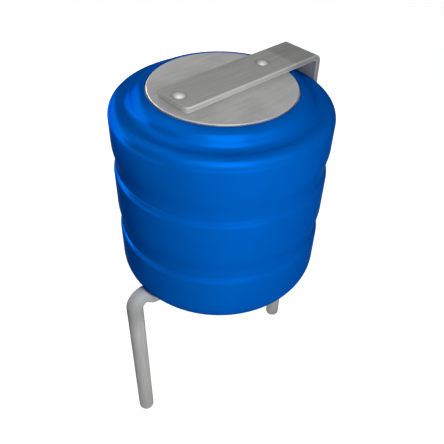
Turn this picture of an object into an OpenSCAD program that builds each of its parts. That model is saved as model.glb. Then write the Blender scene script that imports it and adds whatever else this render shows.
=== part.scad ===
// Supercapacitor of three stacked coin cells in a shrink sleeve, with two wire terminals.
// +Z runs up the stack and X along the terminals. The origin lies on the stack's axis,
// on the underside of the bottom terminal, where the part sits on its board.

/* [Cells] */
// Outside diameter of a cell's can
can_d = 12.2; // [11:0.1:14]
// Height of a cell, from the can's underside to the weld pad on its cap
cell_h = 4.1; // [3.9:0.05:5]
// Sheet thickness of the can
can_t = 0.2; // [0.15:0.01:0.25]
// Outside radius of the can's rounded bottom edge
can_corner = 1.35; // [1.1:0.05:1.5]
// Outside radius of the can's crimped rim
rim_corner = 0.5; // [0.4:0.05:0.6]
// Wall of the sealing gasket
gasket_t = 0.25; // [0.2:0.01:0.3]
// Width of the gasket's foot, on which the cap's skirt stands
foot_w = 1.2; // [0.8:0.05:1.25]
// Wall of the gasket's collar between the crimped lip and the crown
collar_t = 0.18; // [0.12:0.01:0.25]
// Running gap between the pressed metal and the gasket
seal_gap = 0.02; // [0.01:0.01:0.03]

/* [Cap] */
// Sheet thickness of the cap
cap_t = 0.2; // [0.15:0.01:0.25]
// Height of the weld pad above the crimped rim
crown_h = 0.95; // [0.85:0.05:1.1]
// Distance of the crown's wall from the outside of the can
crown_inset = 1.15; // [1.05:0.05:1.25]
// Outside radius of the crown's rounded shoulder
crown_corner = 0.85; // [0.85:0.05:1]
// Width of the crown's shoulder around the weld pad
shoulder_w = 0.82; // [0.74:0.02:0.84]
// Height of the weld pad above the shoulder
pad_h = 0.2; // [0.2:0.01:0.3]
// Radius of the weld pad's edge
pad_edge = 0.08; // [0.04:0.01:0.12]

/* [Inside of a cell] */
// Gap between an electrode and the wall of the weld pad
electrode_gap = 0.13; // [0.05:0.01:0.4]
// Thickness of the separator between the electrodes
separator_t = 0.2; // [0.1:0.05:0.4]
// Margin of the separator around the electrodes
separator_margin = 0.5; // [0.2:0.05:0.8]

/* [Links between the cells] */
// Thickness of a link
link_t = 0.1; // [0.08:0.01:0.15]
// Length of a link
link_l = 6.5; // [5:0.1:7]
// Width of a link
link_w = 3; // [2:0.1:4]

/* [Sleeve] */
// Wall of the shrink film
film_t = 0.15; // [0.1:0.01:0.17]
// Gap between the film and the cells
film_gap = 0.02; // [0.01:0.01:0.03]
// Gap between the film's upper lip and the weld pad
lip_gap = 0.06; // [0.02:0.01:0.1]
// Depth to which the film shrinks in between two cells
groove_depth = 0.16; // [0.08:0.02:0.24]
// Height of the film's curve above a groove
over_h = 1.3; // [1:0.05:1.4]
// Height of the film's curve below a groove
under_h = 0.5; // [0.45:0.05:0.8]
// Height of the film's straight waist below a joint
waist_h = 0.3; // [0.1:0.05:0.4]
// Radius of the film's hollow between the rim and the crown
hollow_r = 0.8; // [0.7:0.05:1.2]

/* [Terminals] */
// Diameter of the terminal wire
wire_d = 1.05; // [0.9:0.05:1.2]
// Width of the wire's flattened strip
strip_w = 2.5; // [1.8:0.1:3]
// Thickness of the flattened strip
strip_t = 0.35; // [0.28:0.01:0.45]
// Distance from the stack's axis to a strip's free end
strip_reach = 3.5; // [2.8:0.1:3.8]
// Radius of the strip's free corners
strip_corner = 0.25; // [0.1:0.05:0.5]
// Inner radius of the top strip's fold
fold_r = 0.2; // [0.15:0.05:0.4]
// Inner radius of the bottom wire's elbow
elbow_r = 0.15; // [0.1:0.05:0.5]
// Straight wire between the bottom strip and the elbow
elbow_run = 0.05; // [0.02:0.01:0.5]
// Length over which the top strip draws in to the round wire
flare_l = 2; // [1.5:0.1:3]
// Height of the top terminal's round wire above the board
flare_lift = 0.3; // [0.1:0.1:2]
// Slope of the bottom strip's rise to the round wire, in degrees
rise_angle = 49; // [40:1:60]
// Length over which the bottom strip narrows towards its rise
neck_l = 2; // [1:0.1:2.2]
// Width of the bottom strip where it rises
neck_w = 1.3; // [1.1:0.05:1.8]
// Gap between a terminal and the sleeve
lead_gap = 0.05; // [0.03:0.01:0.2]
// Length of the pins below the board's face
pin_len = 11.5; // [4:0.5:14]
// Chamfer of the pins' tips
tip_chamfer = 0.2; // [0.1:0.05:0.3]
// Diameter of a weld spot
weld_d = 0.7; // [0.5:0.05:0.9]
// Depth of a weld spot
weld_depth = 0.1; // [0.05:0.01:0.14]
// Distance of a weld spot from the end of the strip's run on the cell
weld_inset = 0.5; // [0.5:0.05:1]

/* [Hidden] */
$fn = 96;
cell_count = 3;
arc_steps = 8;
// Depth by which a cut runs past the face that it opens
overcut = 0.1;
// Length of plain strip past a flare's wide end, half of which lies in the strip that it carries on
flare_tail = 0.1;

// Radii of the cell, from the outside in
can_r = can_d / 2;
skirt_r = can_r - can_t - gasket_t - 2 * seal_gap;
crown_r = can_r - crown_inset;
lip_r = crown_r + collar_t + 2 * seal_gap;
pad_r = crown_r - shoulder_w;
electrode_r = pad_r - cap_t - electrode_gap;
separator_r = electrode_r + separator_margin;
foot_r = skirt_r - foot_w;

// Heights in the cell, above the can's underside
rim_h = cell_h - crown_h;
shoulder_z = cell_h - pad_h;
flange_z = rim_h - can_t - gasket_t;
skirt_z = can_corner;
electrode_t = (cell_h - can_t - cap_t - separator_t) / 2;

// The stack, above the underside of the lowest can
cell_pitch = cell_h + link_t;
top_cell_z = (cell_count - 1) * cell_pitch;
stack_h = top_cell_z + cell_h;

// The film's own outline
film_out = film_gap + film_t;
body_r = can_r + film_out;
bottom_lip_angle = asin((can_corner - film_gap) / (can_corner + film_out));
rim_centre = [can_r - rim_corner, top_cell_z + rim_h - rim_corner];
crown_centre = [crown_r - crown_corner, top_cell_z + shoulder_z - crown_corner];
hollow_centre = far_corner(rim_centre, crown_centre, rim_corner + hollow_r, crown_corner + hollow_r);
film_lip_r = pad_r + lip_gap;

// The terminals
wire_r = wire_d / 2;
weld_x = strip_reach - weld_inset;
weld_ball_r = (weld_d * weld_d / 4 + weld_depth * weld_depth) / (2 * weld_depth);
top_strip_z = strip_t + stack_h;
side_x = body_r + lead_gap;
rise_l = (wire_d - strip_t) / tan(rise_angle);
rise_start = can_r - can_corner + (can_corner + film_out + lead_gap) / sin(rise_angle)
    - can_corner / tan(rise_angle);
rise_end = rise_start + rise_l;
elbow_x = max(rise_end + elbow_run, side_x - elbow_r);

sleeve_colour = "#0A5FC2";
terminal_colour = "#A9ABAC";
cap_colour = "#9C9DA0";
can_colour = "#8E9094";
gasket_colour = "#E6E3DA";
electrode_colour = "#2B2B2D";
separator_colour = "#F1EEE4";
link_colour = "#B9B4A6";

// Point at the distances ra from a and rb from b, to the right of the way from a to b
function far_corner(a, b, ra, rb) =
    let (gap = norm(b - a))
    let (u = (b - a) / gap)
    let (along = (gap * gap + ra * ra - rb * rb) / (2 * gap))
    a + along * u + sqrt(ra * ra - along * along) * [u[1], -u[0]];

// Angle of the way from a to b
function heading(a, b) = atan2(b[1] - a[1], b[0] - a[0]);

// Points of an arc about a centre, from one angle to another
function arc(centre, r, from, to) =
    [for (i = [0 : arc_steps]) let (a = from + (to - from) * i / arc_steps) centre + r * [cos(a), sin(a)]];

// Height of the joint above cell i
function joint_z(i) = (i + 1) * cell_pitch - link_t / 2;

// Radius of two equal arcs that shift the film in by the groove's depth over the height h
function shift_r(h) = (h * h + groove_depth * groove_depth) / (4 * groove_depth);

// Angle through which each of the two arcs turns
function shift_angle(h) = 2 * atan(groove_depth / h);

// The film's groove above cell i, at the distance s from the cells: in to the waist and out again
function groove(i, s) =
    let (low = joint_z(i) - waist_h)
    let (high = joint_z(i))
    let (under_r = shift_r(under_h))
    let (over_r = shift_r(over_h))
    let (waist_r = can_r - groove_depth)
    concat(
        arc([can_r - under_r, low - under_h], under_r + s, 0, shift_angle(under_h)),
        rest(arc([waist_r + under_r, low], under_r - s, 180 + shift_angle(under_h), 180)),
        arc([waist_r + over_r, high], over_r - s, 180, 180 - shift_angle(over_h)),
        rest(arc([can_r - over_r, high + over_h], over_r + s, -shift_angle(over_h), 0))
    );

// Angle at which the film's line over the crown ends, above the foot of the weld pad
function lip_angle(s) = acos((film_lip_r - crown_centre[0]) / (crown_corner + s));

// The film's line at the distance s from the cells, from its lower lip to its upper lip
function film_line(s) = concat(
    arc([can_r - can_corner, can_corner], can_corner + s, -bottom_lip_angle, 0),
    [for (i = [0 : cell_count - 2]) each groove(i, s)],
    arc(rim_centre, rim_corner + s, 0, heading(rim_centre, hollow_centre)),
    arc(
        hollow_centre, hollow_r - s,
        heading(hollow_centre, rim_centre), heading(hollow_centre, crown_centre)
    ),
    arc(crown_centre, crown_corner + s, heading(crown_centre, hollow_centre), lip_angle(s))
);

function backwards(list) = [for (i = [len(list) - 1 : -1 : 0]) list[i]];

function rest(list) = [for (i = [1 : len(list) - 1]) list[i]];

// Half section of a round disc from z0 to z1, with its lower and upper edges rounded
module disc_half(r, z0, z1, low, high) {
    translate([0, z0]) square([r - low, z1 - z0 - high]);
    translate([0, z0 + low]) square([r, z1 - z0 - low - high]);
    translate([0, z0 + low]) square([r - high, z1 - z0 - low]);
    if (low > 0) translate([r - low, z0 + low]) circle(low);
    if (high > 0) translate([r - high, z1 - high]) circle(high);
}

// Half section of the cap's outside, or of its inside at the sheet's thickness
module cap_half(sheet) {
    edge = sheet > 0 ? 0 : pad_edge;
    disc_half(pad_r - sheet, skirt_z - sheet, cell_h - sheet, 0, edge);
    disc_half(crown_r - sheet, skirt_z - sheet, shoulder_z - sheet, 0, crown_corner - sheet);
    disc_half(skirt_r - sheet, skirt_z - sheet, flange_z - sheet, 0, 0);
}

// Places a piece of cell i, which is modelled on the underside of its can
module in_cell(i) {
    translate([0, 0, strip_t + i * cell_pitch]) children();
}

// Drawn can: its wall is crimped inwards over the gasket
module can(i) {
    color(can_colour) in_cell(i) rotate_extrude() difference() {
        disc_half(can_r, 0, rim_h, can_corner, rim_corner);
        disc_half(can_r - can_t, can_t, rim_h - can_t, can_corner - can_t, rim_corner - can_t);
        translate([0, rim_h - can_t - overcut]) square([lip_r, can_t + 2 * overcut]);
    }
}

// Sealing gasket: a foot in the can's corner, a wall, a flange under the lip and a collar
module gasket(i) {
    corner = can_corner - can_t - seal_gap;
    rim = rim_corner - can_t - seal_gap;
    color(gasket_colour) in_cell(i) rotate_extrude() difference() {
        union() {
            disc_half(can_r - can_t - seal_gap, can_t, rim_h - can_t, corner, rim);
            translate([0, flange_z]) square([lip_r - seal_gap, rim_h - flange_z]);
        }
        translate([0, skirt_z]) square([skirt_r + seal_gap, flange_z - skirt_z]);
        square([foot_r, skirt_z + overcut]);
        translate([0, flange_z - overcut]) square([crown_r + seal_gap, rim_h]);
    }
}

// Cap pressed from sheet: weld pad, rounded shoulder, flange and skirt
module cap(i) {
    color(cap_colour) in_cell(i) rotate_extrude() difference() {
        cap_half(0);
        cap_half(cap_t);
    }
}

module electrode(i, z) {
    color(electrode_colour) in_cell(i) translate([0, 0, z]) cylinder(h = electrode_t, r = electrode_r);
}

module lower_electrode(i) {
    electrode(i, can_t);
}

module upper_electrode(i) {
    electrode(i, cell_h - cap_t - electrode_t);
}

module separator(i) {
    color(separator_colour) in_cell(i) translate([0, 0, can_t + electrode_t])
        cylinder(h = separator_t, r = separator_r);
}

// Round-ended strip that joins the cap of cell i to the can above it
module link(i) {
    straight = link_l - link_w;
    color(link_colour) in_cell(i) translate([0, 0, cell_h]) linear_extrude(link_t) {
        square([straight, link_w], center = true);
        for (side = [-1, 1]) translate([side * straight / 2, 0]) circle(link_w / 2);
    }
}

// Shrink film with its lips turned over the crown and under the lowest can
module sleeve() {
    color(sleeve_colour) translate([0, 0, strip_t]) rotate_extrude()
        polygon(concat(film_line(film_out), backwards(film_line(film_gap))));
}

// Flat strip that lies on z = 0, from its free end at -strip_reach along X to end_x.
// Its plan may be carried on past end_x by a child.
module flat_strip(end_x) {
    length = strip_reach + end_x - strip_corner;
    linear_extrude(strip_t) translate([strip_corner - strip_reach, 0]) {
        translate([length / 2, 0]) square([length, strip_w], center = true);
        square([2 * strip_corner, strip_w - 2 * strip_corner], center = true);
        for (side = [-1, 1]) translate([0, side * (strip_w / 2 - strip_corner)]) circle(strip_corner);
        translate([length, 0]) children();
    }
}

// Plan of the bottom strip's neck, from its wide end at x = 0, with a lap into the strip
module neck_plan() {
    wide = strip_w / 2;
    thin = neck_w / 2;
    polygon([
        [-overcut, -wide], [0, -wide], [neck_l, -thin],
        [neck_l, thin], [0, wide], [-overcut, wide]
    ]);
}

// Balls that press the two weld spots into the strip's face at z = strip_t
module weld_spots() {
    ball_z = strip_t - weld_depth + weld_ball_r;
    for (side = [-1, 1]) translate([side * weld_x, 0, ball_z]) sphere(weld_ball_r);
}

// Block to the left of x = 0 and below y = 0, with its outer corner rounded
module corner_block(width, depth, r) {
    translate([-width, -depth]) square([width - r, depth]);
    translate([-width, -depth]) square([width, depth - r]);
    translate([-r, -r]) circle(r);
}

// Strip folded down: its leg's inner face is x = 0 and its upper run's lower face z = 0
module folded_strip(run, leg) {
    rotate([90, 0, 0]) linear_extrude(strip_w, center = true) difference() {
        translate([strip_t, strip_t]) corner_block(run + strip_t, leg + strip_t, fold_r + strip_t);
        corner_block(run + overcut, leg + overcut, fold_r);
    }
}

// Wire pressed flat against one side: round at z = 0, a strip of the given width from z = run on.
// The flat side is the plane x = 0.
module pressed_flare(run, width) {
    growth = norm([width / 2, wire_r]) - wire_r;
    end = run + flare_tail;
    intersection() {
        translate([wire_r, 0, 0]) cylinder(h = end, r1 = wire_r, r2 = wire_r + growth * end / run);
        rotate([90, 0, 0]) linear_extrude(width, center = true)
            polygon([[0, 0], [wire_d, 0], [strip_t, run], [strip_t, end], [0, end]]);
    }
}

// Round pin that hangs down from z = 0 and ends in a chamfered tip
module pin(length) {
    shank = length - tip_chamfer;
    rotate_extrude() polygon([
        [0, 0], [wire_r, 0], [wire_r, -shank],
        [wire_r - tip_chamfer, -length], [0, -length]
    ]);
}

// Strip on the top cap, folded down beside the sleeve and drawn in to a pin
module top_terminal() {
    leg = top_strip_z - flare_lift - flare_l - flare_tail / 2;
    color(terminal_colour) {
        difference() {
            union() {
                translate([0, 0, top_strip_z]) flat_strip(strip_reach);
                translate([side_x, 0, top_strip_z]) folded_strip(side_x, leg);
            }
            translate([0, 0, top_strip_z]) weld_spots();
        }
        translate([side_x, 0, flare_lift]) {
            pressed_flare(flare_l, strip_w);
            translate([wire_r, 0, 0]) pin(flare_lift + pin_len);
        }
    }
}

// Strip under the lowest can, rising to the round wire and bent down to a pin
module bottom_terminal() {
    bend_r = elbow_r + wire_r;
    straight = elbow_x - rise_end;
    color(terminal_colour) mirror([1, 0, 0]) {
        difference() {
            flat_strip(rise_start - flare_tail / 2 - neck_l) neck_plan();
            translate([0, 0, strip_t]) mirror([0, 0, 1]) weld_spots();
        }
        translate([rise_end, 0, 0]) rotate([0, -90, 0]) pressed_flare(rise_l, neck_w);
        translate([rise_end, 0, wire_r]) {
            rotate([0, 90, 0]) cylinder(h = straight, r = wire_r);
            translate([straight, 0, -bend_r]) {
                rotate([90, 0, 0]) rotate_extrude(angle = 90) translate([bend_r, 0]) circle(wire_r);
                translate([bend_r, 0, 0]) pin(pin_len - elbow_r);
            }
        }
    }
}

sleeve();
top_terminal();
bottom_terminal();
link(1);  // upper_link
link(0);  // lower_link

can(2);  // top_can
gasket(2);  // top_gasket
cap(2);  // top_cap
lower_electrode(2);  // top_lower_electrode
separator(2);  // top_separator
upper_electrode(2);  // top_upper_electrode

can(1);  // middle_can
gasket(1);  // middle_gasket
cap(1);  // middle_cap
lower_electrode(1);  // middle_lower_electrode
separator(1);  // middle_separator
upper_electrode(1);  // middle_upper_electrode

can(0);  // bottom_can
gasket(0);  // bottom_gasket
cap(0);  // bottom_cap
lower_electrode(0);  // bottom_lower_electrode
separator(0);  // bottom_separator
upper_electrode(0);  // bottom_upper_electrode
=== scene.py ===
import math
import bmesh
import bpy
import numpy as np
from mathutils import Matrix, Vector


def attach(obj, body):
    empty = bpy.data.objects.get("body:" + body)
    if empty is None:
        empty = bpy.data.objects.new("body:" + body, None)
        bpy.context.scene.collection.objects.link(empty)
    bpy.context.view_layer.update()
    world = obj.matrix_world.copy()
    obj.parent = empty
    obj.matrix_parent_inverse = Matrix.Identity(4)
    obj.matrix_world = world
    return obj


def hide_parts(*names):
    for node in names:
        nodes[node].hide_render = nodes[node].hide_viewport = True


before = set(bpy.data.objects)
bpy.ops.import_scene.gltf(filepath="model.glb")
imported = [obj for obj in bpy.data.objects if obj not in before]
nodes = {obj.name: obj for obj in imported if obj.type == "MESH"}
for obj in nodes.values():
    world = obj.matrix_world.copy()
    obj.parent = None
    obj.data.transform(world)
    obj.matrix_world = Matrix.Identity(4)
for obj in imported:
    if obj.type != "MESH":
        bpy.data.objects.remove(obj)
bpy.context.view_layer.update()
scene = bpy.context.scene
scene.view_settings.view_transform = "Standard"
mm = 0.001
print("frame loaded:", len(nodes), "nodes")


# sizes that the pieces share, in mm, as in the part's source
stack = dict(
    canR=6.1, canCorner=1.35,
    cellPitch=4.2, linkT=0.1,                          # from cell to cell, and the link between two cells
    rimH=3.15, rimCorner=0.5,                          # crimped rim, over the underside of its can
    crownR=4.95, crownCorner=0.85, shoulderZ=3.9,      # cap's crown and its shoulder
    bodyR=6.27,                                        # outside of the film
    seat=0.35,                                         # underside of the lowest can
    topStripZ=12.85,                                   # underside of the top strip
)


# arc: centre plus radius times cosine and sine of an angle that runs evenly from one end to the other
def arcPoints(centre, radius, fromDeg, toDeg, count):
    angle = np.radians(np.linspace(fromDeg, toDeg, count))
    return np.stack([centre[0] + radius * np.cos(angle), centre[1] + radius * np.sin(angle)], 1)


# direction from a to b, in degrees
def headingDeg(a, b):
    return math.degrees(math.atan2(b[1] - a[1], b[0] - a[0]))


# bell curve: e to the minus square of distance over width
def bell(distance, width):
    return np.exp(-(distance / width) ** 2)


# mesh of a grid of points, rows by columns: the columns close to a ring, the rows close too or are capped
def gridObject(name, grid, closeRows):
    rows, cols = grid.shape[:2]
    index = np.arange(rows * cols).reshape(rows, cols)
    low = index if closeRows else index[:-1]
    high = np.roll(index, -1, 0) if closeRows else index[1:]
    quads = np.stack([low, np.roll(low, -1, 1), np.roll(high, -1, 1), high], -1).reshape(-1, 4)
    points = grid.reshape(-1, 3)
    a, b, c, d = (points[quads[:, i]] for i in range(4))
    volume = np.einsum("ij,ij->i", a, np.cross(b, c) + np.cross(c, d)).sum()
    faces = quads.tolist()
    if not closeRows:
        faces += [index[0, ::-1].tolist(), index[-1].tolist()]
    if volume < 0:                                     # the faces look outwards
        faces = [face[::-1] for face in faces]
    mesh = bpy.data.meshes.new(name)
    mesh.from_pydata((points * mm).tolist(), [], faces)
    mesh.polygons.foreach_set("use_smooth", np.ones(len(mesh.polygons), bool))
    mesh.update()
    piece = bpy.data.objects.new(name, mesh)
    scene.collection.objects.link(piece)
    return piece


# one value for each point of the grid, kept on the mesh for its material
def pointValues(piece, name, values):
    layer = piece.data.attributes.new(name, "FLOAT", "POINT")
    layer.data.foreach_set("value", np.ascontiguousarray(values, np.float32).ravel())


# points of a section that fall together on the round wire, within the gap, become one
def mergePoints(piece, gap=0.0001 * mm):
    work = bmesh.new()
    work.from_mesh(piece.data)
    bmesh.ops.remove_doubles(work, verts=work.verts, dist=gap)
    work.to_mesh(piece.data)
    work.free()


# a finished piece takes its material, rides on the part and stands for its CAD node
def seatPiece(piece, material, node):
    piece.data.materials.append(material)
    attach(piece, "root")
    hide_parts(node)


# hex sRGB to linear: up to 0.04045 a division by 12.92, above it the power 2.4 of the shifted value
def hexLinear(code):
    srgb = np.array([int(code[i:i + 2], 16) for i in (1, 3, 5)]) / 255
    linear = np.where(srgb <= 0.04045, srgb / 12.92, ((srgb + 0.055) / 1.055) ** 2.4)
    return (*linear.tolist(), 1.0)


# an empty material with its tree and its shader
def newMaterial(name):
    material = bpy.data.materials.new(name)
    material.use_nodes = True
    return material, material.node_tree, material.node_tree.nodes["Principled BSDF"]


# adds a node, sets its properties and inputs; an input that is given a socket is linked to it
def addNode(tree, kind, inputs=None, **settings):
    node = tree.nodes.new(kind)
    for key, value in settings.items():
        setattr(node, key, value)
    for key, value in (inputs or {}).items():
        if isinstance(value, bpy.types.NodeSocket):
            tree.links.new(value, node.inputs[key])
        else:
            node.inputs[key].default_value = value
    return node


# sets shader sockets: plain values directly, sockets by a link
def setShader(tree, shader, **inputs):
    for key, value in inputs.items():
        socket = shader.inputs[key.replace("_", " ")]
        if isinstance(value, bpy.types.NodeSocket):
            tree.links.new(value, socket)
        else:
            socket.default_value = value


# two tones of a finish: the share of the second colour grows evenly from lowAt to highAt of a value
def twoTones(tree, value, low, high, lowAt=0.3, highAt=0.7):
    share = addNode(tree, "ShaderNodeMapRange", {"Value": value, "From Min": lowAt, "From Max": highAt})
    sockets = {0: share.outputs["Result"], 6: hexLinear(low), 7: hexLinear(high)}     # 6 and 7 take colours
    return addNode(tree, "ShaderNodeMix", sockets, data_type="RGBA").outputs[2]


# shrink-sleeve film, PVC drawn tight by heat: an even deep blue, glossy, with a faint stretch mottle
def shrinkFilm():
    material, tree, shader = newMaterial("shrinkFilmPvc")
    place = addNode(tree, "ShaderNodeTexCoord").outputs["Object"]
    mottle = addNode(tree, "ShaderNodeTexNoise", {"Vector": place, "Scale": 1 / (3.0 * mm), "Detail": 2.0})
    patch = mottle.outputs["Fac"]
    drawn = addNode(tree, "ShaderNodeMapping", {"Vector": place, "Scale": (1, 1, 0.25)})
    ripple = addNode(tree, "ShaderNodeTexNoise", {"Vector": drawn.outputs["Vector"], "Scale": 1 / (0.5 * mm),
                                                  "Detail": 3.0})
    bump = addNode(tree, "ShaderNodeBump", {"Height": ripple.outputs["Fac"], "Strength": 0.12,
                                            "Distance": 0.02 * mm})
    gloss = addNode(tree, "ShaderNodeMapRange", {"Value": patch, "From Min": 0.3, "From Max": 0.7,
                                                 "To Min": 0.2, "To Max": 0.27})
    setShader(tree, shader, Base_Color=twoTones(tree, patch, "#0060C4", "#0064CC"), Metallic=0.1,
              Roughness=gloss.outputs["Result"], IOR=1.52, Specular_IOR_Level=0.0,
              Specular_Tint=hexLinear("#6FA0DC"), Normal=bump.outputs["Normal"])
    return material


# tinned wire, rolled flat and drawn: a soft grey metal with fine lines along its length. Its tone also holds
# painted light: painted highlights on the strip's edges and sides and in the welds' middles, painted shade
# past the cell, round each weld and near the cell's underside
def tinnedWire():
    material, tree, shader = newMaterial("tinnedWireRolled")
    place = addNode(tree, "ShaderNodeTexCoord").outputs["Object"]
    cloud = addNode(tree, "ShaderNodeTexNoise", {"Vector": place, "Scale": 1 / (1.2 * mm), "Detail": 3.0})
    along = addNode(tree, "ShaderNodeAttribute", attribute_name="alongWire")
    around = addNode(tree, "ShaderNodeAttribute", attribute_name="aroundWire")
    line = addNode(tree, "ShaderNodeCombineXYZ", {"X": along.outputs["Fac"], "Y": around.outputs["Fac"]})
    # the lines are about 3 mm long and a sixth of a mm apart, coarser than real ones, so that they show
    drawn = addNode(tree, "ShaderNodeMapping", {"Vector": line.outputs["Vector"], "Scale": (0.3, 6.0, 1)})
    grain = addNode(tree, "ShaderNodeTexNoise", {"Vector": drawn.outputs["Vector"], "Scale": 1.0,
                                                 "Detail": 4.0})
    bump = addNode(tree, "ShaderNodeBump", {"Height": grain.outputs["Fac"], "Strength": 0.2,
                                            "Distance": 0.01 * mm})
    satin = addNode(tree, "ShaderNodeMapRange", {"Value": cloud.outputs["Fac"], "From Min": 0.3,
                                                 "From Max": 0.7, "To Min": 0.46, "To Max": 0.58})
    # tone of each point, with painted highlights and painted shade in it
    paintedLightTone = addNode(tree, "ShaderNodeAttribute", attribute_name="faceTone")
    grainAndPaintedLight = addNode(tree, "ShaderNodeMath", {0: grain.outputs["Fac"], 1: 0.36, 2: paintedLightTone.outputs["Fac"]},
                     operation="MULTIPLY_ADD")
    melted = addNode(tree, "ShaderNodeAttribute", attribute_name="weldShine")
    shine = addNode(tree, "ShaderNodeMath", {0: melted.outputs["Fac"], 1: 0.7, 2: 0.03},
                    operation="MULTIPLY_ADD")
    setShader(tree, shader, Base_Color=twoTones(tree, grainAndPaintedLight.outputs[0], "#7E7E7E", "#F0F0EE", 0.08, 1.0),
              Metallic=shine.outputs[0], Roughness=satin.outputs["Result"], Specular_IOR_Level=0.0,
              Specular_Tint=hexLinear("#A8A8A8"), Normal=bump.outputs["Normal"])
    return material


# bright rolled steel sheet, pressed: grey satin with fine rolling lines and a soft cloud
def rolledSteel(name, low, high, roughness):
    material, tree, shader = newMaterial(name)
    place = addNode(tree, "ShaderNodeTexCoord").outputs["Object"]
    cloud = addNode(tree, "ShaderNodeTexNoise", {"Vector": place, "Scale": 1 / (2.5 * mm), "Detail": 3.0})
    # the lines are 2 mm long and 0.12 mm apart, coarser than real ones, so that they show
    rolled = addNode(tree, "ShaderNodeMapping", {"Vector": place, "Scale": (0.06, 1, 0.06)})
    grain = addNode(tree, "ShaderNodeTexNoise", {"Vector": rolled.outputs["Vector"], "Scale": 1 / (0.12 * mm),
                                                 "Detail": 3.0})
    bump = addNode(tree, "ShaderNodeBump", {"Height": grain.outputs["Fac"], "Strength": 0.15,
                                            "Distance": 0.01 * mm})
    satin = addNode(tree, "ShaderNodeMapRange", {"Value": cloud.outputs["Fac"], "From Min": 0.3,
                                                 "From Max": 0.7, "To Min": roughness - 0.05,
                                                 "To Max": roughness + 0.05})
    speck = addNode(tree, "ShaderNodeMath", {0: grain.outputs["Fac"], 1: 0.6, 2: cloud.outputs["Fac"]},
                    operation="MULTIPLY_ADD")
    setShader(tree, shader, Base_Color=twoTones(tree, speck.outputs[0], low, high, 0.6, 1.0), Metallic=0.1,
              Roughness=satin.outputs["Result"], Normal=bump.outputs["Normal"])
    return material


# matt inner pieces: a grain of the given size in mm mottles the colour and breaks the surface
def mattPiece(name, low, high, grainSize, roughness, depth):
    material, tree, shader = newMaterial(name)
    place = addNode(tree, "ShaderNodeTexCoord").outputs["Object"]
    grain = addNode(tree, "ShaderNodeTexNoise", {"Vector": place, "Scale": 1 / (grainSize * mm),
                                                 "Detail": 5.0})
    bump = addNode(tree, "ShaderNodeBump", {"Height": grain.outputs["Fac"], "Strength": 0.4,
                                            "Distance": depth * mm})
    setShader(tree, shader, Base_Color=twoTones(tree, grain.outputs["Fac"], low, high), Roughness=roughness,
              Normal=bump.outputs["Normal"])
    return material


filmMaterial = shrinkFilm()
wireMaterial = tinnedWire()
finishes = {
    "cap": rolledSteel("rolledSteelCap", "#AEAEAE", "#C6C6C5", 0.4),
    "can": rolledSteel("drawnSteelCan", "#B4B6B8", "#BEBFC0", 0.36),
    "link": rolledSteel("nickelStrip", "#A8A496", "#B9B4A6", 0.34),
    "gasket": mattPiece("polypropyleneMoulded", "#DAD7CC", "#E9E6DD", 0.6, 0.5, 0.01),
    "electrode": mattPiece("activatedCarbonPressed", "#1E1E20", "#343436", 0.12, 0.9, 0.03),
    "separator": mattPiece("cellulosePaper", "#E8E4D8", "#F4F1E8", 0.2, 0.85, 0.02),
}
for name, node in nodes.items():                       # every carried-over node takes the finish of its kind
    kind = next((k for k in finishes if name.endswith(k)), None)
    if kind:
        node.data.materials.clear()
        node.data.materials.append(finishes[kind])
print("materials made:", len(bpy.data.materials))


# sleeve: distances of the film from the cells, and its curves, in mm
film = dict(
    outer=0.17, inner=0.02,                            # both sides of the film, out from the cells
    grooveDepth=0.16, overH=1.3, underH=0.5, waistH=0.3,
    hollowR=0.8, lipR=4.19, edge=0.07,                 # hollow beside the crown, upper lip and its rounding
    turns=224,                                         # columns round the axis
)
filmSteps = dict(corner=14, under=12, over=10, rim=16, hollow=16, crown=20, lip=9)       # points on each arc


# two equal arcs that shift a line sideways by depth over height: their radius is height squared plus depth
# squared, over four depths, and each turns by twice the angle whose tangent is depth over height
def shiftArcs(height, depth):
    return (height ** 2 + depth ** 2) / (4 * depth), math.degrees(2 * math.atan(depth / height))


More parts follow.
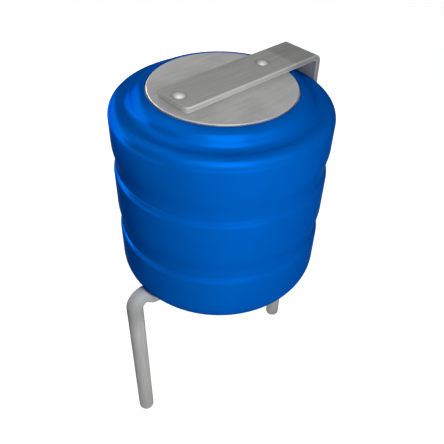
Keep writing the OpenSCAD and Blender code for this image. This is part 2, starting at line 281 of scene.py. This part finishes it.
# the film's line at an offset from the cells: lower lip, wall with a waist at each joint, rim, hollow, crown
def filmLine(offset):
    canR, canCorner, pitch = stack["canR"], stack["canCorner"], stack["cellPitch"]
    rimCorner, crownCorner, hollowR = stack["rimCorner"], stack["crownCorner"], film["hollowR"]
    depth, underH, overH = film["grooveDepth"], film["underH"], film["overH"]
    lowDeg = math.degrees(math.asin((canCorner - film["inner"]) / (canCorner + film["outer"])))
    cornerCentre = (canR - canCorner, canCorner)
    parts = [arcPoints(cornerCentre, canCorner + offset, -lowDeg, 0, filmSteps["corner"])]
    underR, underDeg = shiftArcs(underH, depth)
    overR, overDeg = shiftArcs(overH, depth)
    under, over = filmSteps["under"], filmSteps["over"]
    for cell in (1, 2):
        joint = cell * pitch - stack["linkT"] / 2      # middle of the link
        low = joint - film["waistH"]
        parts.append(arcPoints((canR - underR, low - underH), underR + offset, 0, underDeg, under))
        parts.append(arcPoints((canR - depth + underR, low), underR - offset, 180 + underDeg, 180, under)[1:])
        parts.append(arcPoints((canR - depth + overR, joint), overR - offset, 180, 180 - overDeg, over))
        parts.append(arcPoints((canR - overR, joint + overH), overR + offset, -overDeg, 0, over)[1:])
    topZ = 2 * pitch
    rim = np.array([canR - rimCorner, topZ + stack["rimH"] - rimCorner])
    crown = np.array([stack["crownR"] - crownCorner, topZ + stack["shoulderZ"] - crownCorner])
    # the hollow's centre lies at both arcs' radii plus its own from their centres
    gap = np.linalg.norm(crown - rim)
    unit = (crown - rim) / gap
    rimReach, crownReach = rimCorner + hollowR, crownCorner + hollowR
    along = (gap ** 2 + rimReach ** 2 - crownReach ** 2) / (2 * gap)
    rise = math.sqrt(rimReach ** 2 - along ** 2)
    hollow = rim + along * unit + rise * np.array([unit[1], -unit[0]])
    toRim, toCrown = headingDeg(hollow, rim), headingDeg(hollow, crown)
    parts.append(arcPoints(rim, rimCorner + offset, 0, headingDeg(rim, hollow), filmSteps["rim"]))
    parts.append(arcPoints(hollow, hollowR - offset, toRim, toCrown, filmSteps["hollow"])[1:])
    crownR = crownCorner + offset
    lipDeg = math.degrees(math.acos((film["lipR"] + film["edge"] - crown[0]) / crownR))
    parts.append(arcPoints(crown, crownR, headingDeg(crown, hollow), lipDeg, filmSteps["crown"])[1:])
    return np.concatenate(parts)


# round lip of the film: half a circle on the line between the ends of its two sides
def lipArc(start, end, turnDeg):
    middle = (start + end) / 2
    heading = headingDeg(middle, start)
    radius = np.linalg.norm(start - middle)
    return arcPoints(middle, radius, heading, heading + turnDeg, filmSteps["lip"])[1:-1]


# sleeve: the closed film line turned about the stack's axis, x = r cos, y = r sin
def makeSleeve():
    out, back = filmLine(film["outer"]), filmLine(film["inner"])[::-1]
    upperLip = lipArc(out[-1], back[0], 180)
    lowerLip = lipArc(back[-1], out[0], -180)
    line = np.concatenate([out, upperLip, back, lowerLip])
    turn = np.linspace(0, 2 * np.pi, film["turns"], endpoint=False)
    r, z = line[:, :1], line[:, 1:]
    height = np.repeat(z + stack["seat"], len(turn), 1)
    sleeve = gridObject("sleeveFilm", np.stack([r * np.cos(turn), r * np.sin(turn), height], -1), True)
    seatPiece(sleeve, filmMaterial, "sleeve")
    print("sleeve made:", len(sleeve.data.polygons), "faces")


makeSleeve()


# wire terminals: sizes in mm along each path, and of the section that turns from strip to round wire
wire = dict(
    radius=0.525, stripW=2.5, stripT=0.35, edge=0.06,
    reach=3.5, planCorner=0.25,                        # the strips' free ends
    pinEnd=-11.5, tip=0.12,
    foldR=0.2, sideX=6.32, flareLift=0.3, flareL=2.0,  # top terminal
    neckL=2.0, neckW=1.3, neckLead=0.05,               # bottom terminal
    riseStart=5.6567, riseEnd=6.2652, elbowX=6.3152, elbowR=0.15,
    weldX=3.0, weldR=0.38, weldDepth=0.1, lipH=0.02, lipW=0.06,
)

# points round the section and stations along each stretch; on a strip, in mm, the step of the open stations
# and how far the close ones reach to each side of a weld
wireSteps = dict(face=45, side=7, corner=10, end=7, plan=9, weld=41, fold=14, leg=16, flare=26, rise=18,
                 straight=3, elbow=20, pin=24, tip=8, openRun=0.3, weldRun=0.5)

# tone of the metal, from 0 dark to 1 light, with painted highlights and painted shade in it, and the sizes in
# mm of what changes it
wireTone = dict(
    plain=0.62, flat=0.23, side=0.05,                  # round wire, less on the strip, more on its sides as a painted highlight
    edge=0.4, edgeW=0.06,                              # painted highlights along the strip's edges
    farShade=0.17, farShadeFrom=4.4, farShadeRun=0.15,             # painted shade on the strip past the cell
    bend=0.28, bendZ=-0.3, bendL=1.1,                  # painted shade on the round wire near the cell's underside, at the bend
    ring=0.2, ringW=0.08, weldHighlight=0.4, meltR=0.2,         # ring of painted shade round a weld's dent, painted highlight in its middle
)


# section of half thickness a, half width b and corner c, as signs and corner cosines that whole paths share
def sectionTemplate(wide, thick, corner):
    bend = np.linspace(0, np.pi / 2, corner)[1:-1]
    c, s = np.cos(bend), np.sin(bend)
    run, side = np.linspace(-1, 1, wide), np.linspace(1, -1, thick)
    face, end, turn = np.ones(wide), np.ones(thick), np.ones(len(bend))
    signP = [face, turn, side, -turn, -face, -turn, -side, turn]
    cosP = [face, c, 0 * side, -s, -face, -c, 0 * side, s]
    signQ = [run, turn, end, turn, -run, -turn, -end, -turn]
    cosQ = [0 * run, s, end, c, 0 * run, -s, -end, -c]
    return [np.concatenate(part)[None, :] for part in (signP, cosP, signQ, cosQ)]


# path of stations: x, z, direction of the section's outer face, half thickness, half width, corner
def station(x, z, faceX, faceZ, a, b, c):
    return np.stack(np.broadcast_arrays(*(np.asarray(v, float) for v in (x, z, faceX, faceZ, a, b, c))), -1)


# free end of a strip: the plan corner is a quarter circle, and the cut edge is eased
def freeEnd(run):
    plan, ease = wire["planCorner"], wire["edge"]
    inPlan = np.clip(plan - run, 0, plan)
    inEase = np.clip(ease - run, 0, ease)
    half = wire["stripW"] / 2 - plan + np.sqrt(plan ** 2 - inPlan ** 2)
    lost = ease - np.sqrt(ease ** 2 - inEase ** 2)
    return wire["stripT"] / 2 - lost, half - lost


# stations along a strip: close at its end and over each weld, open between
def stripRuns(length):
    edge, openRun, weldRun = wire["edge"], wireSteps["openRun"], wireSteps["weldRun"]
    stretches = [np.linspace(0, edge, wireSteps["end"]), np.linspace(edge, openRun, wireSteps["plan"])]
    for weldX in (-wire["weldX"], wire["weldX"]):
        middle = wire["reach"] + weldX
        stretches.append(np.linspace(middle - weldRun, middle + weldRun, wireSteps["weld"]))
    stretches += [np.arange(0, length, openRun), [length]]
    runs = np.unique(np.round(np.concatenate(stretches), 4))
    return runs[(runs >= 0) & (runs <= length)]


# flare: thickness grows evenly to the round wire, the corner by the power 1.5, and the width follows a cone
def flareSection(share, width):
    r, half = wire["radius"], width / 2
    a = (wire["stripT"] + (2 * r - wire["stripT"]) * share) / 2
    wideR = math.hypot(half, r)
    b = np.minimum(half, wideR + (r - wideR) * share)
    c = np.minimum(wire["edge"] + (r - wire["edge"]) * share ** 1.5, np.minimum(a, b))
    return a, b, c


# pin and its tip: the section stays round and closes over a quarter circle at the end
def pinStations(x, faceX, fromZ):
    r, tip = wire["radius"], wire["tip"]
    z = np.linspace(fromZ, wire["pinEnd"] + tip, wireSteps["pin"])
    turn = np.linspace(0, np.pi / 2, wireSteps["tip"])[1:]
    zTip = wire["pinEnd"] + tip - tip * np.sin(turn)
    rTip = r - tip + tip * np.cos(turn)
    return np.concatenate([station(x, z, faceX, 0, r, r, r), station(x, zTip, faceX, 0, rTip, rTip, rTip)])


# spot weld: a round dent with a low raised lip, by the distance from its middle
def weldDent(distance):
    bowl = wire["weldDepth"] * np.clip(1 - (distance / wire["weldR"]) ** 2, 0, None)
    return bowl - wire["lipH"] * bell(distance - wire["weldR"], wire["lipW"])


# melted middles of the welds: a bell curve of the distance from each; it makes them more metallic, and in the
# tone it is a painted highlight
def weldShine(welds, onFace):
    return np.where(onFace, sum(bell(distance, wireTone["meltR"]) for distance in welds), 0)


# tone of the metal: a plain level on round wire, less on the strip, painted shade on the strip past the cell
# by a short ramp, and painted highlights on its sides;
# bell curves make painted highlights along the edges, painted shade near the cell's underside, and at each
# weld a ring of painted shade and a painted highlight
def faceTones(x, z, a, p, cosQ, welds, onFace):
    r, thin = wire["radius"], wire["stripT"] / 2
    flat = np.clip((r - a) / (r - thin), 0, 1)
    # painted shade on the strip past the cell
    farShade = np.clip((x - wireTone["farShadeFrom"]) / wireTone["farShadeRun"], 0, 1)
    # painted shade on the round wire near the height of the cell's underside
    bend = bell(z - wireTone["bendZ"], wireTone["bendL"]) * (1 - flat)
    # painted highlights: light lines along the strip's edges and a lighter tone on its sides
    edge = cosQ ** 2 * bell(a - np.abs(p), wireTone["edgeW"])
    light = wireTone["side"] * cosQ ** 2 + wireTone["edge"] * edge
    dark = wireTone["flat"] + wireTone["farShade"] * farShade
    # painted shade in a ring round each weld's dent
    rings = sum(bell(distance - wire["weldR"], wireTone["ringW"]) for distance in welds)
    tone = wireTone["plain"] - wireTone["bend"] * bend + flat * (light - dark)
    # painted highlight in each weld's middle
    return tone - np.where(onFace, wireTone["ring"] * rings, 0) + wireTone["weldHighlight"] * weldShine(welds, onFace)


# wire: the section at each station is set along the face's direction and across Y
def makeWire(name, path, dentFace, node):
    signP, cosP, signQ, cosQ = sectionTemplate(wireSteps["face"], wireSteps["side"], wireSteps["corner"])
    x, z, faceX, faceZ, a, b, c = (path[:, i:i + 1] for i in range(7))
    p = signP * (a - c) + cosP * c
    q = signQ * (b - c) + cosQ * c
    onFace = (cosP == dentFace) & (np.abs(faceZ) > 0.999)                # the welded strip's open face
    welds = [np.hypot(x - weldX, q) for weldX in (-wire["weldX"], wire["weldX"])]
    for distance in welds:
        p = p - np.where(onFace, dentFace * weldDent(distance), 0)
    piece = gridObject(name, np.stack([x + faceX * p, q, z + faceZ * p], -1), False)
    steps = np.hypot(np.diff(path[:, 0]), np.diff(path[:, 1]))
    length = np.concatenate([[0], np.cumsum(steps)])[:, None]
    pointValues(piece, "alongWire", np.broadcast_to(length, p.shape))
    pointValues(piece, "aroundWire", q + p)
    # faceTone: the metal's tone with its painted highlights and painted shade
    pointValues(piece, "faceTone", faceTones(x, z, a, p, cosQ, welds, onFace))
    pointValues(piece, "weldShine", weldShine(welds, onFace))
    mergePoints(piece)
    seatPiece(piece, wireMaterial, node)
    print(name, "made:", len(piece.data.polygons), "faces")


# top terminal: strip on the cap, folded down beside the sleeve, flared to the pin
def makeTopTerminal():
    t, topZ, sideX, foldR = wire["stripT"], stack["topStripZ"], wire["sideX"], wire["foldR"]
    halfW, edge = wire["stripW"] / 2, wire["edge"]
    runs = stripRuns(wire["reach"] + sideX - foldR)
    a, b = freeEnd(runs)
    flat = station(runs - wire["reach"], topZ + t / 2, 0, 1, a, b, edge)
    turn = np.linspace(np.pi / 2, 0, wireSteps["fold"])[1:]
    c, s = np.cos(turn), np.sin(turn)
    middleR = foldR + t / 2
    fold = station(sideX - foldR + middleR * c, topZ - foldR + middleR * s, c, s, t / 2, halfW, edge)
    legEnd = wire["flareLift"] + wire["flareL"]
    legZ = np.linspace(topZ - foldR, legEnd, wireSteps["leg"])[1:]
    leg = station(sideX + t / 2, legZ, 1, 0, t / 2, halfW, edge)
    share = np.linspace(0, 1, wireSteps["flare"])[1:]
    a, b, corner = flareSection(share, wire["stripW"])
    flare = station(sideX + a, legEnd - share * wire["flareL"], 1, 0, a, b, corner)
    pin = pinStations(sideX + wire["radius"], 1, wire["flareLift"])[1:]
    makeWire("topTerminalWire", np.concatenate([flat, fold, leg, flare, pin]), 1, "top_terminal")


# bottom terminal: strip under the lowest can, rising to round wire, an elbow and the pin
def makeBottomTerminal():
    t, r, edge = wire["stripT"], wire["radius"], wire["edge"]
    riseStart, riseEnd, elbowX, elbowR = wire["riseStart"], wire["riseEnd"], wire["elbowX"], wire["elbowR"]
    runs = stripRuns(wire["reach"] + riseStart)
    a, b = freeEnd(runs)
    neckStart = wire["reach"] + riseStart - wire["neckLead"] - wire["neckL"]
    inNeck = np.clip((runs - neckStart) / wire["neckL"], 0, 1)           # the plan narrows evenly to the neck
    b = b - inNeck * (wire["stripW"] - wire["neckW"]) / 2
    flat = station(wire["reach"] - runs, t / 2, 0, 1, a, b, edge)
    share = np.linspace(0, 1, wireSteps["rise"])[1:]
    a, b, corner = flareSection(share, wire["neckW"])
    rise = station(-riseStart - share * (riseEnd - riseStart), a, 0, 1, a, b, corner)
    straightX = np.linspace(-riseEnd, -elbowX, wireSteps["straight"])[1:]
    straight = station(straightX, r, 0, 1, r, r, r)
    bendR = elbowR + r
    turn = np.linspace(np.pi / 2, np.pi, wireSteps["elbow"])[1:]
    c, s = np.cos(turn), np.sin(turn)
    elbow = station(-elbowX + bendR * c, -elbowR + bendR * s, c, s, r, r, r)
    pin = pinStations(-elbowX - bendR, -1, -elbowR)[1:]
    makeWire("bottomTerminalWire", np.concatenate([flat, rise, straight, elbow, pin]), -1, "bottom_terminal")


makeTopTerminal()
makeBottomTerminal()


# 1 for rays that come from the camera, from gloss or through glass, else 0: the largest of the three shares
def seenRays(tree):
    path = addNode(tree, "ShaderNodeLightPath")
    seen = path.outputs["Is Camera Ray"]
    for kind in ("Is Glossy Ray", "Is Transmission Ray"):
        either = addNode(tree, "ShaderNodeMath", {0: seen, 1: path.outputs[kind]}, operation="MAXIMUM")
        seen = either.outputs[0]
    return seen


# floor: a wide pale sheet just under the pins' tips, its half width in m and the gap to the tips in mm;
# it shows near white to the camera and to gloss, and keeps the shadow
floorLook = dict(half=0.6, gap=0.02, tone="#C8C8C8", glow=0.93)


def makeFloor():
    s, z = floorLook["half"], (wire["pinEnd"] - floorLook["gap"]) * mm
    mesh = bpy.data.meshes.new("floorSheet")
    mesh.from_pydata([(-s, -s, z), (s, -s, z), (s, s, z), (-s, s, z)], [], [(0, 1, 2, 3)])
    floor = bpy.data.objects.new("floorSheet", mesh)
    scene.collection.objects.link(floor)
    material, tree, shader = newMaterial("paleFloor")
    glow = addNode(tree, "ShaderNodeMath", {0: seenRays(tree), 1: floorLook["glow"]}, operation="MULTIPLY")
    setShader(tree, shader, Base_Color=hexLinear(floorLook["tone"]), Roughness=0.9, Specular_IOR_Level=0.0,
              Emission_Color=(1, 1, 1, 1), Emission_Strength=glow.outputs[0])
    mesh.materials.append(material)


# camera: fitted to the photograph's outlines. Its place is in body radii, its turns in radians, its focal
# length in pixels of the picture, and the terminals' line lies at phi degrees to the picture's horizontal
view = dict(back=4.2488, up=4.1548, yaw=0.0082, pitch=0.72, roll=0.0345, phi=43.0, focal=539.2, picture=444,
            sensor=36, nearest=0.001, farthest=10)


# from right, away and up of the view to the part's own axes: a turn by phi about the upright
def cameraFrame(vector):
    phi = math.radians(view["phi"])
    x, y, z = vector
    return Vector((x * math.cos(phi) + y * math.sin(phi), -x * math.sin(phi) + y * math.cos(phi), z))


# the camera looks ahead by yaw and pitch, and its right and top are turned by roll about that line
def makeCamera():
    unit = stack["bodyR"] * mm
    yaw, pitch, roll = view["yaw"], view["pitch"], view["roll"]
    ahead = cameraFrame((math.sin(yaw) * math.cos(pitch), math.cos(yaw) * math.cos(pitch), -math.sin(pitch)))
    side = ahead.cross(Vector((0, 0, 1))).normalized()
    upward = side.cross(ahead)
    right = side * math.cos(roll) + upward * math.sin(roll)
    top = upward * math.cos(roll) - side * math.sin(roll)
    data = bpy.data.cameras.new("photoCamera")
    data.sensor_width = view["sensor"]
    data.lens = view["focal"] / view["picture"] * view["sensor"]
    data.clip_start, data.clip_end = view["nearest"], view["farthest"]
    camera = bpy.data.objects.new("photoCamera", data)
    camera.matrix_world = Matrix((right, top, -ahead)).transposed().to_4x4()
    camera.location = cameraFrame((0, -view["back"] * unit, view["up"] * unit + stack["seat"] * mm))
    scene.collection.objects.link(camera)
    scene.camera = camera


# lamps: soft boxes, placed right, away and up of the part as the camera sees it, in mm. The strip in front,
# the one overhead and the fill behind give the even light. The others are seen by gloss alone: glint and sky
# on the crown and rim, low, skirt and left in the grooves, rim and side on the left of the crown.
lamps = dict(
    strip=dict(place=(8.5, -25.5, 15), size=(10, 34), radiance=4.8, gloss=False),
    top=dict(place=(-6, -8, 68), size=(30, 30), radiance=2.4, gloss=False),
    fill=dict(place=(-19, 55, 12), size=(40, 40), radiance=2.4, gloss=False),
    glint=dict(place=(10, -66, 101), size=(70, 80), radiance=4.6, gloss=True),
    low=dict(place=(13, -99, 0), size=(150, 22), radiance=2.8, gloss=True),
    sky=dict(place=(14, -66, 101), size=(220, 80), radiance=2.2, gloss=True),
    rim=dict(place=(-72, 44, 18), size=(84, 68), radiance=8.5, gloss=True),
    skirt=dict(place=(-32, 18.5, -1.5), size=(40, 14), radiance=6.0, gloss=True),
    left=dict(place=(-37, -6, -1), size=(40, 15), radiance=2.8, gloss=True),
    side=dict(place=(-56, 15, 79), size=(70, 60), radiance=2.4, gloss=True),
)
lampAimZ = 7                                           # all lamps face this height on the axis, in mm


# a lamp's energy is its radiance times pi times its area
def makeLamps():
    for name, lamp in lamps.items():
        data = bpy.data.lights.new(name + "Lamp", "AREA")
        data.shape = "RECTANGLE"
        data.size, data.size_y = (v * mm for v in lamp["size"])
        data.energy = lamp["radiance"] * math.pi * data.size * data.size_y
        light = bpy.data.objects.new(name + "Lamp", data)
        place = cameraFrame([v * mm for v in lamp["place"]])
        aim = Vector((0, 0, lampAimZ * mm)) - place
        light.rotation_mode = "QUATERNION"
        light.rotation_quaternion = aim.to_track_quat("-Z", "Y")
        light.location = place
        light.visible_camera = False
        light.visible_diffuse = not lamp["gloss"]
        light.visible_glossy = lamp["gloss"]
        scene.collection.objects.link(light)


# world: white to the camera and to gloss, a soft grey as light on the part
worldLook = dict(ambient=0.08, white=1.0)


def makeWorld():
    world = bpy.data.worlds.new("paleStudio")
    scene.world = world
    world.use_nodes = True
    tree = world.node_tree
    background = tree.nodes["Background"]
    level = addNode(tree, "ShaderNodeMapRange", {"Value": seenRays(tree), "To Min": worldLook["ambient"],
                                                 "To Max": worldLook["white"]})
    setShader(tree, background, Color=(1, 1, 1, 1), Strength=level.outputs["Result"])


makeFloor()
makeCamera()
makeLamps()
makeWorld()
print("floor, camera and lamps set")
